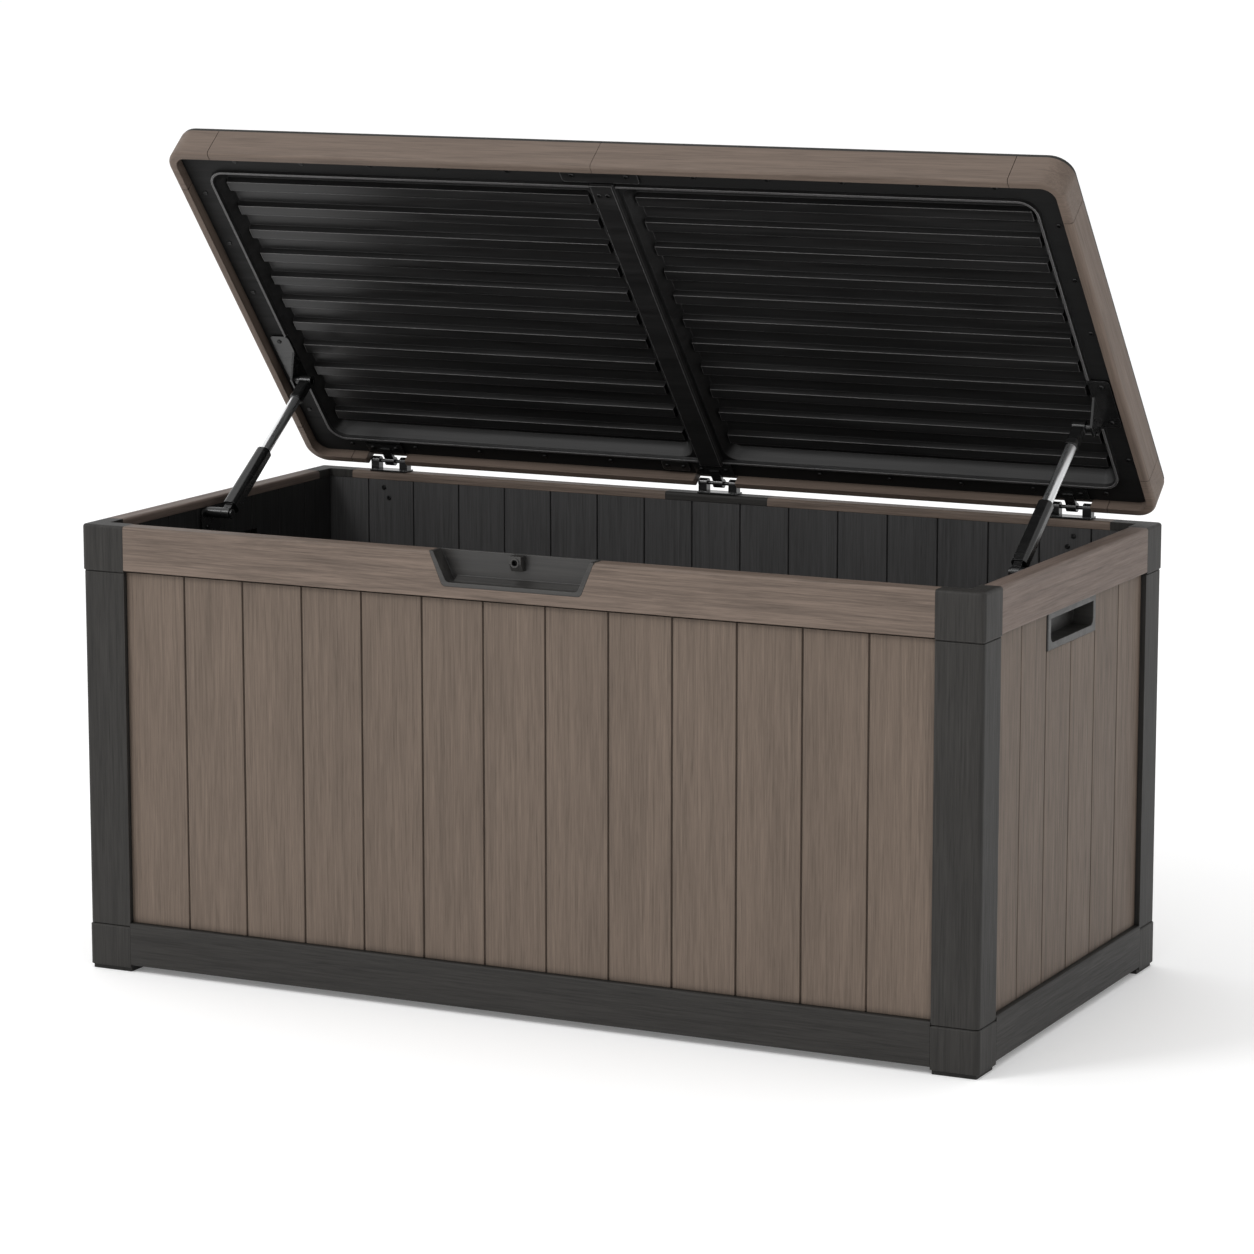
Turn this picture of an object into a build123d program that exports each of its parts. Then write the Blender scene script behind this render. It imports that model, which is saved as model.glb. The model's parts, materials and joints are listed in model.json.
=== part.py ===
"""Deck storage box: a plank-sided resin chest with a hinged lid held open by two telescopic stays.

Frame: millimetres, +Z up, X along the length, the front at -Y, and the origin on the ground under
the middle of the chest.  The lid is drawn closed and then turned to its open rest position.
"""
import os
from math import atan2, cos, degrees, hypot, radians, sin, tan

from build123d import *

# ---------------------------------------------------------------- driving dimensions
LENGTH = 1240.0
DEPTH = 620.0
HEIGHT = 584.0
HALF_LENGTH = LENGTH / 2
HALF_DEPTH = DEPTH / 2

POST_WIDTH = 62.0           # along the length
POST_DEPTH = 57.0           # along the depth
SHELL = 16.2                # outer frame and planks
WALL = 27.0                 # outer frame plus liner
SEAM = 0.3                  # gap between neighbouring mouldings
CAP_HEIGHT = 60.0
BASE_TOP = 60.0
FOOT_HEIGHT = 6.0
FOOT_INSET = 4.0
FOOT_PLATE = 3.0
POST_INSET = 1.0
CORNER_RADIUS = 7.0
NOTCH = 1.6                 # V joint between cap, post and base
CUT = 1.0                   # how far a cutting shape runs past a face
EDGE_REACH = 8.0            # edges within this of a corner's outer face belong to it

RAIL_HEIGHT = 57.5
RAIL_LIP = 11.0
RAIL_ROUND = 4.0
BOTTOM_RAIL_LOW = 9.0
BOTTOM_RAIL_TOP = 65.0
BOTTOM_RAIL_ROUND = 2.5
RAIL_EDGE = 1.0
JOINER_HALF = 75.0          # half the length of the back rail's middle piece

PANEL_RECESS = 8.0
PANEL_GAP = 2.5             # dark line under the top rail
FRONT_PLANKS = 13
SIDE_PLANKS = 6
GROOVE_WIDTH = 3.4
GROOVE_DEPTH = 2.4
GROOVE_TAPER = 28.0         # slant of a groove's sides, in degrees
LINER_PLANKS = 17
LINER_SIDE_PLANKS = 8
LINER_GROOVE = 2.6
LINER_GROOVE_DEPTH = 2.0
FLOOR_LOW = 14.0
FLOOR_TOP = 22.0
FLOOR_RIB = 3.0
FLOOR_RIBS = 7
FLOOR_RIB_WIDTH = 10.0
FLOOR_RIB_END = 80.0        # floor left past the ends of a rib, both ends together

RECESS_TOP_WIDTH = 227.0
RECESS_BOTTOM_WIDTH = 190.0
RECESS_HEIGHT = 43.0
RECESS_WALL = 5.0
RECESS_DEPTH = 23.0
RECESS_ROUND = 7.0
LEDGE_FRONT = 12.0          # slanted ledge at the foot of the recess
LEDGE_RISE = 6.0
LEDGE_END = 4.0
EYE_WIDTH = 16.0
EYE_HEIGHT = 19.0
EYE_REACH = 12.0
EYE_BORE = 4.0
EYE_DOWN = 1.5              # eye's top below the chest's top
EYE_COLLAR = 1.8
EYE_COLLAR_START = 1.2
EYE_COLLAR_THICK = 1.6
EYE_BORE_DEPTH = 10.0

HANDLE_WIDTH = 166.0
HANDLE_HEIGHT = 48.0
HANDLE_PROUD = 1.5
HANDLE_BORDER = 9.0
HANDLE_SHELL = 3.0
HANDLE_DEPTH = 36.0
HANDLE_ROUND = 9.0
HANDLE_EDGE = 1.0
HANDLE_BEHIND = 10.0        # room in the liner behind the cup

# lid, as it lies closed
LID_OPEN = 50.1             # angle of the lid at rest
LID_GAP = 3.0
LID_SIDE_OVER = 4.0
LID_FRONT_IN = 12.0
LID_BACK_IN = 18.0
RIM_HEIGHT = 42.0
RIM_WALL = 12.0
RIM_ROUND = 5.0
LID_CORNER = 30.0
LID_CORNER_LEAST = 6.0
CORNER_LEG = 68.0
COVER_THICK = 7.0
COVER_ROUND = 4.0
COVER_GROOVES = 5
COVER_GROOVE_DEPTH = 2.0
COVER_GROOVE_END = 30.0
COVER_INSET = 1.0
HINGE_NOTCH = 2.5           # rim cut away beside and above each hinge
HINGE_NOTCH_RISE = 6.0
FLANGE_RECESS = 14.0
SHEET = 3.0
LIP_SIDE = 32.0             # flange between rim and lip at the sides, front and back
LIP_FRONT = 30.0
LIP_BACK = 26.0
LIP_WIDTH = 5.0
LIP_DROP = 5.0
LIP_CORNER = 26.0
LIP_TAPER = 12
PAN_DEPTH = 16.0            # pan between lip and bar, let up into the lid
PAN_TAPER = 35              # slant of the pan's walls, in degrees
PAN_BESIDE_BAR = 4.0
RIB_COUNT = 11              # ribs across each pan
RIB_WIDTH = 19.0
RIB_DROP = 8.5
RIB_TAPER = 12
RIB_INTO_WALL = 2.0
BAR_WIDTH = 36.0
BAR_DROP = 8.0
BAR_SLANT = 3.0
BAR_END = 2.0               # bar kept this far outside the lip
TIE_THICK = 2.5
TIE_ROUND = 4.0
TIE_FRONT_HALF = 54.0       # front joint plate
TIE_FRONT_IN = 4.0
TIE_FRONT_WIDE = 23.0
TIE_BACK_X = (-76.0, -36.0)  # back joint plate, beside the middle hinge
TIE_BACK_IN = 6.0
TIE_BACK_WIDE = 18.0

# hinges
AXIS_ABOVE = 14.0
AXIS_BEHIND = 2.0
HINGE_X = (-502.0, 0.0, 502.0)
HINGE_WIDTH = 56.0
KNUCKLE_RADIUS = 6.0
KNUCKLE_WIDTH = 12.0
LID_KNUCKLE_WIDTH = 14.0
PIN_RADIUS = 2.5
PIN_PLAY = 0.05
LEAF_THICK = 3.0
LEAF_REACH = 38.0
LEAF_IN = 2.0               # lid leaf's gap to the rim
CHEST_LEAF_THICK = 2.0
CHEST_LEAF_FRONT = 10.0
ARM_REACH = 12.0            # arm between lid leaf and knuckle
ARM_LOW = 2.0
PIN_HEAD = 1.0
PIN_HEAD_HALF = 0.8

# stays
STAY_X = 559.0              # centre plane of each stay
STUD_REACH = 178.0          # lid stud in front of the hinge axis
STUD_DROP = 22.0
PIVOT_REACH = 345.0         # chest pivot in front of the hinge axis
PIVOT_DROP = 31.0
SLEEVE_RADIUS = 10.0
SLEEVE_LENGTH = 108.0
SLEEVE_START = 12.0
SLEEVE_FLOOR = 1.0          # solid end between the eye and the bore
SLEEVE_ROUND = 6.0
SLEEVE_MOUTH_ROUND = 7.0
SLEEVE_NARROWING = 1.0
NECK_START = 4.0            # neck between eye and sleeve
NECK_SLIM = 2.0
TUBE_RADIUS = 7.0
TUBE_PLAY = 0.06
TUBE_EDGE = 0.6
SOCKET_LENGTH = 38.0
SOCKET_START = 0.05         # gap between tube and end fitting
SOCKET_WIDER = 2.0
SOCKET_ROUND = 5.0
SOCKET_FACE = 6.0           # body ends this far before the stud
SOCKET_FACE_ROUND = 2.0
SOCKET_SLIM = 1.0
EYE_HALF = 5.5              # half width of the sleeve's eye
SOCKET_HALF = 8.3           # half width of the upper end fitting
STUD_SHORT = 0.6            # the lid stud stops this far beside the fitting
EYE_RADIUS = 7.5
STUD_RADIUS = 4.0
STUD_PLAY = 0.05
STUD_HEAD = 1.5             # radius added by a stud's head
STUD_HEAD_THICK = 2.5
STUD_BOSS = 3.0             # radius added by the boss at a stud's root
STUD_PAST = 1.0
BRACKET_THICK = 3.8
PLATE_LENGTH = 44.0         # chest bracket's plate
PLATE_HEIGHT = 38.0
PLATE_ROUND = 8.0
PLATE_BEHIND = 9.0
PLATE_BELOW = 14.0
SCREW_RADIUS = 3.2
SCREW_HEIGHT = 1.6
SCREW_EDGE = 0.7
SCREW_SLOT = 0.8            # width and depth of the cross
SCREW_SLOT_SPAN = 3.84
LUG_IN = 44.0               # lid lug's inner face from the outer side
LUG_THICK = 3.0
LUG_FRONT = 34.0            # lug's root before and behind the stud
LUG_BACK = 18.0
LUG_TIP = 8.0
LUG_ROOT = 1.0
BRACKET_EDGE = 16.0
BRACKET_FRONT = 62.0        # lid bracket's base before and behind the stud
BRACKET_BACK = 22.0
BRACKET_BASE = 3.0
BRACKET_ROUND = 6.0
BRACKET_LEDGE = 0.5
BRACKET_ROOM = 2.0          # lip cut away past the ends of the bracket
LID_SEAM = 0.8              # seam beside the lid's corner pieces

# screw places
PLATE_SCREW_NEAR = 15.0     # behind and below the chest pivot
PLATE_SCREW_FAR = 26.0
PLATE_SCREW_LOW = 20.0
WALL_SCREW_IN = 112.0       # upper back wall screw from the end, and the lower one's step
WALL_SCREW_STEP = 8.0
WALL_SCREW_HIGH = 22.0
WALL_SCREW_LOW = 36.0
FLANGE_SCREW_IN = 14.0
FLANGE_SCREW_Y = (-212.0, -120.0, -28.0, 200.0)
FLANGE_SCREWS = 5           # along each half of the front and back flange
FLANGE_SCREW_START = 130.0
FLANGE_SCREW_PITCH = 100.0
FLANGE_BACK_SHIFT = 24.0
BRACKET_SCREW_IN = 10.0     # from the ends of the lid bracket's base
BRACKET_SCREW_OUT = 16.0    # outside the lug
TIE_SCREW_IN = 15.0
TIE_FRONT_SCREW = 38.0
TIE_BACK_SCREW = 12.0
BAR_SCREW = 6.0
BAR_SCREW_IN = 44.0
LEAF_SCREW = 18.0
LEAF_SCREW_IN = 11.0

# ---------------------------------------------------------------- worked-out places
CAP_LOW = HEIGHT - CAP_HEIGHT
RAIL_LOW = HEIGHT - RAIL_HEIGHT
LINER_TOP = HEIGHT - RAIL_LIP - SEAM
LINER_FACE = WALL - 0.5
PANEL_LOW = BOTTOM_RAIL_TOP + SEAM
PANEL_TOP = RAIL_LOW - PANEL_GAP
RIM_LOW = HEIGHT + LID_GAP
RIM_TOP = RIM_LOW + RIM_HEIGHT
FLANGE_Z = RIM_LOW + FLANGE_RECESS
TIE_LOW = FLANGE_Z - SEAM - TIE_THICK
PAN_FLOOR = FLANGE_Z + PAN_DEPTH
LID_HALF = HALF_LENGTH + LID_SIDE_OVER
LID_FRONT = -HALF_DEPTH + LID_FRONT_IN
LID_BACK = HALF_DEPTH - LID_BACK_IN
LID_DEPTH = LID_BACK - LID_FRONT
LID_MIDDLE = (LID_BACK + LID_FRONT) / 2
AXIS_Y = LID_BACK + AXIS_BEHIND
AXIS_Z = HEIGHT + AXIS_ABOVE
HINGE_AXIS = Axis((0, AXIS_Y, AXIS_Z), (1, 0, 0))

STUD_Y = AXIS_Y - STUD_REACH
STUD_Z = AXIS_Z - STUD_DROP
PIVOT_Y = AXIS_Y - PIVOT_REACH
PIVOT_Z = AXIS_Z - PIVOT_DROP
STUD_RADIUS_ARM = hypot(STUD_REACH, STUD_DROP)
STUD_OPEN_ANGLE = radians(LID_OPEN) - atan2(STUD_DROP, STUD_REACH)
STUD_OPEN_Y = AXIS_Y - STUD_RADIUS_ARM * cos(STUD_OPEN_ANGLE)
STUD_OPEN_Z = AXIS_Z + STUD_RADIUS_ARM * sin(STUD_OPEN_ANGLE)
STAY_LENGTH = hypot(STUD_OPEN_Y - PIVOT_Y, STUD_OPEN_Z - PIVOT_Z)
STAY_SLOPE = atan2(STUD_OPEN_Z - PIVOT_Z, STUD_OPEN_Y - PIVOT_Y)
STAY_CLOSED = hypot(STUD_Y - PIVOT_Y, STUD_Z - PIVOT_Z)
STAY_CLOSED_SLOPE = atan2(STUD_Z - PIVOT_Z, STUD_Y - PIVOT_Y)


def save(shape, name):
    """Label a finished piece and write it as one STEP file."""
    shape.label = name
    export_step(shape, f"parts/{name}.step")


def opened(shape):
    """Turn a piece of the closed lid to the open rest position."""
    return shape.rotate(HINGE_AXIS, -LID_OPEN)


def block(x_range, y_range, z_range):
    """A plain box between three pairs of limits, for use inside a builder."""
    size = [high - low for low, high in (x_range, y_range, z_range)]
    middle = [(high + low) / 2 for low, high in (x_range, y_range, z_range)]
    with BuildPart(mode=Mode.PRIVATE) as box:
        with Locations(tuple(middle)):
            Box(*size)
    return box.part


# ---------------------------------------------------------------- corners
def angle_section(wall, inset=0.0, radius=CORNER_RADIUS):
    """L-shaped outline of the front left corner, with a rounded outer edge."""
    left = -HALF_LENGTH + inset
    front = -HALF_DEPTH + inset
    right = -HALF_LENGTH + POST_WIDTH
    back = -HALF_DEPTH + POST_DEPTH
    inner_x = -HALF_LENGTH + wall
    inner_y = -HALF_DEPTH + wall
    with BuildSketch(mode=Mode.PRIVATE) as section:
        with BuildLine():
            Polyline((left, front), (right, front), (right, inner_y), (inner_x, inner_y),
                     (inner_x, back), (left, back), close=True)
        make_face()
        outer = section.vertices().group_by(Axis.X)[0].sort_by(Axis.Y)[0]
        fillet(outer, radius=radius)
    return section.sketch


def corner_base():
    """Bottom corner block with its levelling foot."""
    with BuildPart() as base:
        with BuildSketch(Plane.XY.offset(FOOT_HEIGHT)):
            add(angle_section(SHELL))
        extrude(amount=BASE_TOP - FOOT_HEIGHT)
        top = base.faces().sort_by(Axis.Z)[-1].outer_wire().edges()
        outer = top.filter_by(lambda e: not on_inner_side(e))
        chamfer(outer, length=NOTCH)
        foot_x = (-HALF_LENGTH + FOOT_INSET, -HALF_LENGTH + POST_WIDTH - CUT)
        foot_y = (-HALF_DEPTH + FOOT_INSET, -HALF_DEPTH + POST_DEPTH - CUT)
        add(block(foot_x, foot_y, (FOOT_HEIGHT, FOOT_HEIGHT + FOOT_PLATE)))
        add(block(foot_x, foot_y, (0, FOOT_HEIGHT)))
    return base.part


def on_inner_side(edge):
    """True for edges of a corner piece that face its neighbours or the inside."""
    middle = edge.center()
    past_x = middle.X + HALF_LENGTH
    past_y = middle.Y + HALF_DEPTH
    far_x = past_x > SHELL - CUT and past_y > EDGE_REACH
    far_y = past_y > SHELL - CUT and past_x > EDGE_REACH
    return far_x or far_y or past_x > POST_WIDTH - CUT


def corner_post():
    """Upright angle between the base block and the cap."""
    with BuildPart() as post:
        with BuildSketch(Plane.XY.offset(BASE_TOP + SEAM)):
            add(angle_section(SHELL, POST_INSET))
        extrude(amount=CAP_LOW - BASE_TOP - 2 * SEAM)
        for level in (0, -1):
            rim = post.faces().filter_by(Axis.Z).sort_by(Axis.Z)[level].outer_wire().edges()
            chamfer(rim.filter_by(lambda e: not on_inner_side(e)), length=NOTCH - POST_INSET / 2)
    return post.part


def corner_cap():
    """Top corner cap, wider at the top where it covers the liner."""
    with BuildPart() as cap:
        with BuildSketch(Plane.XY.offset(CAP_LOW)):
            add(angle_section(SHELL))
        extrude(amount=CAP_HEIGHT - RAIL_LIP)
        low = cap.faces().sort_by(Axis.Z)[0].outer_wire().edges()
        chamfer(low.filter_by(lambda e: not on_inner_side(e)), length=NOTCH)
        with BuildSketch(Plane.XY.offset(HEIGHT - RAIL_LIP)):
            add(angle_section(WALL))
        extrude(amount=RAIL_LIP)
        top = cap.faces().sort_by(Axis.Z)[-1].outer_wire().edges()
        fillet(top.filter_by(lambda e: not on_inner_side(e)), radius=RAIL_ROUND)
    return cap.part


def save_corners(shape, name):
    """Write one corner piece and its three mirror images."""
    save(shape, f"{name}_front_left")
    save(shape.mirror(Plane.YZ), f"{name}_front_right")
    save(shape.mirror(Plane.XZ), f"{name}_back_left")
    save(shape.mirror(Plane.XZ).mirror(Plane.YZ), f"{name}_back_right")


# ---------------------------------------------------------------- rails
def long_plane(side):
    """Section plane of a rail on the front (side -1) or back (side 1), with x pointing inwards."""
    return Plane(origin=(side * HALF_LENGTH, side * HALF_DEPTH, 0), x_dir=(0, -side, 0),
                 z_dir=(-side, 0, 0))


def short_plane(side):
    """Section plane of a rail on the left (side -1) or right (side 1), with x pointing inwards."""
    return Plane(origin=(side * HALF_LENGTH, -side * HALF_DEPTH, 0), x_dir=(-side, 0, 0),
                 z_dir=(0, side, 0))


def top_rail_outline():
    """Section of a top rail: a tall outer face and a short inner lip over the liner."""
    with BuildSketch(mode=Mode.PRIVATE) as section:
        with BuildLine():
            Polyline((0, RAIL_LOW), (SHELL, RAIL_LOW), (SHELL, HEIGHT - RAIL_LIP),
                     (WALL, HEIGHT - RAIL_LIP), (WALL, HEIGHT), (0, HEIGHT), close=True)
        make_face()
        top = section.vertices().group_by(Axis.Y)[-1]
        fillet(top, radius=RAIL_ROUND)
        low = section.vertices().sort_by(Axis.Y)[0:2].sort_by(Axis.X)[0]
        chamfer(low, length=RAIL_EDGE)
    return section.sketch


def bottom_rail_outline():
    """Section of a bottom rail."""
    with BuildSketch(mode=Mode.PRIVATE) as section:
        with BuildLine():
            Polyline((0, BOTTOM_RAIL_LOW), (SHELL, BOTTOM_RAIL_LOW), (SHELL, BOTTOM_RAIL_TOP),
                     (0, BOTTOM_RAIL_TOP), close=True)
        make_face()
        outer = section.vertices().group_by(Axis.X)[0]
        fillet(outer, radius=BOTTOM_RAIL_ROUND)
    return section.sketch


def rail(outline, plane, start, stop):
    """Run a rail's section along its side, between two distances from the plane's corner."""
    with BuildPart() as bar:
        with BuildSketch(plane.offset(start)):
            add(outline)
        extrude(amount=stop - start)
    return bar.part


def recess_outline(grow):
    """Trapezium of the finger recess, drawn on a plane facing the front."""
    top = RECESS_TOP_WIDTH / 2 + grow
    bottom = RECESS_BOTTOM_WIDTH / 2 + grow
    low = HEIGHT - RECESS_HEIGHT - grow
    with BuildSketch(mode=Mode.PRIVATE) as section:
        with BuildLine():
            Polyline((-top, HEIGHT + CUT), (-bottom, low), (bottom, low), (top, HEIGHT + CUT),
                     close=True)
        make_face()
        fillet(section.vertices().group_by(Axis.Y)[0], radius=RECESS_ROUND)
    return section.sketch


FRONT_PLANE = Plane(origin=(0, -HALF_DEPTH, 0), x_dir=(1, 0, 0), z_dir=(0, -1, 0))


def cut_recess(shape):
    """Cut the room for the finger recess out of a front rail or liner."""
    with BuildPart() as notched:
        add(shape)
        with BuildSketch(FRONT_PLANE.offset(CUT)):
            add(recess_outline(SEAM))
        extrude(amount=-WALL - 2 * CUT, mode=Mode.SUBTRACT)
    return notched.part


def top_rail_front():
    """Front top rail with the notch for the finger recess."""
    plain = rail(top_rail_outline(), long_plane(-1), POST_WIDTH + SEAM, LENGTH - POST_WIDTH - SEAM)
    return cut_recess(plain)


def top_rail_back():
    """Back top rail in two lengths, with room for the joiner between them."""
    reach = JOINER_HALF + SEAM
    with BuildPart() as bar:
        add(rail(top_rail_outline(), long_plane(1), POST_WIDTH + SEAM, HALF_LENGTH - reach))
        add(rail(top_rail_outline(), long_plane(1), HALF_LENGTH + reach,
                 LENGTH - POST_WIDTH - SEAM))
    return bar.part


# ---------------------------------------------------------------- walls
def wall(plane, width, low, high, thick, planks, groove_width, groove_depth):
    """A flat plank wall: x along the wall, y up, its outer face on the plane, thickness behind."""
    with BuildPart() as sheet:
        with BuildSketch(plane):
            with Locations((0, (low + high) / 2)):
                Rectangle(width, high - low)
        extrude(amount=-thick)
        with BuildSketch(plane):
            with Locations((0, (low + high) / 2)):
                with GridLocations(width / planks, 1, planks - 1, 1):
                    Rectangle(groove_width, high - low + 2 * CUT)
        extrude(amount=-groove_depth, taper=GROOVE_TAPER, mode=Mode.SUBTRACT)
    return sheet.part


def wall_plane(side, long_wall, depth, facing_out):
    """Plane at a depth inside the chest's outer face, facing out or in."""
    turn = 1 if facing_out else -1
    if long_wall:
        origin = (0, side * (HALF_DEPTH - depth), 0)
        normal = (0, side * turn, 0)
    else:
        origin = (side * (HALF_LENGTH - depth), 0, 0)
        normal = (side * turn, 0, 0)
    x_dir = (Vector(0, 0, 1).cross(Vector(*normal)))
    return Plane(origin=origin, x_dir=x_dir, z_dir=normal)


def outer_panel(side, long_wall):
    """Taupe plank panel between two posts."""
    width = (LENGTH - 2 * POST_WIDTH if long_wall else DEPTH - 2 * POST_DEPTH) - 2 * SEAM
    planks = FRONT_PLANKS if long_wall else SIDE_PLANKS
    thick = SHELL - PANEL_RECESS
    plane = wall_plane(side, long_wall, PANEL_RECESS, True)
    return wall(plane, width, PANEL_LOW, PANEL_TOP, thick, planks, GROOVE_WIDTH, GROOVE_DEPTH)


def liner(side, long_wall):
    """Dark inner wall behind a panel."""
    reach = SHELL + SEAM if long_wall else WALL + SEAM
    width = (LENGTH if long_wall else DEPTH) - 2 * reach
    planks = LINER_PLANKS if long_wall else LINER_SIDE_PLANKS
    plane = wall_plane(side, long_wall, LINER_FACE, False)
    thick = LINER_FACE - SHELL - SEAM
    return wall(plane, width, FLOOR_TOP + SEAM, LINER_TOP, thick, planks, LINER_GROOVE,
                LINER_GROOVE_DEPTH)


def handle_space(side, grow):
    """Block that the handle moulding takes out of the side walls."""
    half = HANDLE_WIDTH / 2 + grow
    top = RAIL_LOW - SEAM + grow
    low = top - HANDLE_HEIGHT - 2 * grow
    near = HALF_LENGTH - HANDLE_DEPTH - PANEL_RECESS - HANDLE_BEHIND
    ends = sorted((side * near, side * HALF_LENGTH))
    return block(ends, (-half, half), (low, top))


def side_with_handle(shape, side):
    """Cut the room for a handle moulding out of a side wall."""
    with BuildPart() as cut:
        add(shape)
        add(handle_space(side, SEAM), mode=Mode.SUBTRACT)
    return cut.part


def handle(side):
    """Recessed carrying handle: a bordered cup let into the side under the top rail."""
    top = RAIL_LOW - SEAM
    middle = top - HANDLE_HEIGHT / 2
    face = wall_plane(side, False, PANEL_RECESS - HANDLE_PROUD, True)
    depth = HANDLE_DEPTH - PANEL_RECESS + HANDLE_PROUD
    inner_width = HANDLE_WIDTH - 2 * HANDLE_BORDER
    inner_height = HANDLE_HEIGHT - 2 * HANDLE_BORDER
    with BuildPart() as cup:
        with BuildSketch(face):
            with Locations((0, middle)):
                Rectangle(HANDLE_WIDTH, HANDLE_HEIGHT)
        extrude(amount=-(SHELL - PANEL_RECESS + HANDLE_PROUD))
        chamfer(cup.faces().sort_by(Axis.X)[0 if side < 0 else -1].edges(), length=HANDLE_EDGE)
        with BuildSketch(face):
            with Locations((0, middle)):
                Rectangle(inner_width + 2 * HANDLE_SHELL, inner_height + 2 * HANDLE_SHELL)
        extrude(amount=-depth)
        with BuildSketch(face) as mouth:
            with Locations((0, middle)):
                Rectangle(inner_width, inner_height)
            fillet(mouth.vertices().group_by(Axis.Y)[0], radius=HANDLE_ROUND)
        extrude(amount=-(depth - HANDLE_SHELL), mode=Mode.SUBTRACT)
    return cup.part


def floor_panels():
    """Ribbed floor in two halves."""
    inner_x = HALF_LENGTH - SHELL - SEAM
    inner_y = HALF_DEPTH - SHELL - SEAM
    with BuildPart() as floor:
        for side in (-1, 1):
            ends = sorted((side * SEAM, side * inner_x))
            add(block(ends, (-inner_y, inner_y), (FLOOR_LOW, FLOOR_TOP)))
        with GridLocations(0, DEPTH / (FLOOR_RIBS + 1), 1, FLOOR_RIBS):
            for side in (-1, 1):
                with Locations((side * inner_x / 2, 0, FLOOR_LOW - FLOOR_RIB / 2)):
                    Box(inner_x - FLOOR_RIB_END, FLOOR_RIB_WIDTH, FLOOR_RIB)
    return floor.part


# ---------------------------------------------------------------- front recess and padlock eye
def finger_recess():
    """Dark moulding that lines the finger recess in the front rail."""
    with BuildPart() as tray:
        with BuildSketch(FRONT_PLANE):
            add(recess_outline(0))
        extrude(amount=-LINER_FACE)
        with BuildSketch(FRONT_PLANE.offset(CUT)):
            add(recess_outline(-RECESS_WALL))
        extrude(amount=-RECESS_DEPTH - CUT, mode=Mode.SUBTRACT)
        add(block((-HALF_LENGTH, HALF_LENGTH), (-HALF_DEPTH - CUT, HALF_DEPTH),
                  (HEIGHT, HEIGHT + 2 * CUT)), mode=Mode.SUBTRACT)
        ledge = HEIGHT - RECESS_HEIGHT + RECESS_WALL
        half = RECESS_BOTTOM_WIDTH / 2 - RECESS_WALL - LEDGE_END
        with BuildSketch(Plane.YZ.offset(-half)):
            with BuildLine():
                Polyline((-HALF_DEPTH + RECESS_DEPTH, ledge), (-HALF_DEPTH + LEDGE_FRONT, ledge),
                         (-HALF_DEPTH + RECESS_DEPTH, ledge + LEDGE_RISE), close=True)
            make_face()
        extrude(amount=2 * half)
    return tray.part


def padlock_eye():
    """Block with a cross hole for a padlock, on the back wall of the recess."""
    back = -HALF_DEPTH + RECESS_DEPTH
    top = HEIGHT - EYE_DOWN
    bore_height = top - EYE_HEIGHT / 2 + EYE_DOWN
    with BuildPart() as eye:
        with BuildSketch(Plane.YZ.offset(-EYE_WIDTH / 2)):
            with BuildLine():
                Polyline((back, top - EYE_HEIGHT), (back - EYE_REACH / 2, top - EYE_HEIGHT),
                         (back - EYE_REACH, top - EYE_HEIGHT / 2), (back - EYE_REACH, top),
                         (back, top), close=True)
            make_face()
        extrude(amount=EYE_WIDTH)
        with BuildSketch(Plane.XZ.offset(-(back - EYE_REACH - CUT))):
            with Locations((0, bore_height)):
                Circle(EYE_BORE)
        extrude(amount=-EYE_BORE_DEPTH, mode=Mode.SUBTRACT)
        with BuildSketch(Plane.XZ.offset(-(back - EYE_REACH - EYE_COLLAR_START))):
            with Locations((0, bore_height)):
                Circle(EYE_BORE + EYE_COLLAR)
                Circle(EYE_BORE, mode=Mode.SUBTRACT)
        extrude(amount=-EYE_COLLAR_THICK)
    return eye.part


# ---------------------------------------------------------------- lid, drawn closed
def lid_outline(inset):
    """Rounded rectangle of the lid, shrunk by an inset."""
    with BuildSketch(mode=Mode.PRIVATE) as shape:
        with Locations((0, LID_MIDDLE)):
            RectangleRounded(2 * (LID_HALF - inset), LID_DEPTH - 2 * inset,
                             max(LID_CORNER - inset, LID_CORNER_LEAST))
    return shape.sketch


def rim_ring():
    """The whole rim before it is divided into corners and rails."""
    with BuildPart() as ring:
        with BuildSketch(Plane.XY.offset(RIM_LOW)):
            add(lid_outline(0))
            add(lid_outline(RIM_WALL), mode=Mode.SUBTRACT)
        extrude(amount=RIM_HEIGHT)
        low = ring.faces().filter_by(Axis.Z).sort_by(Axis.Z)[0].outer_wire().edges()
        fillet(low, radius=RIM_ROUND)
        notch = HINGE_WIDTH / 2 + HINGE_NOTCH
        for place in HINGE_X:
            add(block((place - notch, place + notch), (LID_BACK - RIM_WALL - CUT, LID_BACK + CUT),
                      (RIM_LOW - CUT, FLANGE_Z + HINGE_NOTCH_RISE)), mode=Mode.SUBTRACT)
    return ring.part


def rim_piece(ring, x_range, y_range):
    """The stretch of the rim inside a rectangle."""
    with BuildPart() as piece:
        add(ring)
        add(block(x_range, y_range, (RIM_LOW - CUT, RIM_TOP + CUT)), mode=Mode.INTERSECT)
    return piece.part


def rim_pair(ring, x_range, y_range):
    """A stretch of the rim and its mirror image to the left, as one node of two solids."""
    first = rim_piece(ring, x_range, y_range)
    with BuildPart() as pair:
        add(first)
        add(first.mirror(Plane.YZ))
    return pair.part


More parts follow.
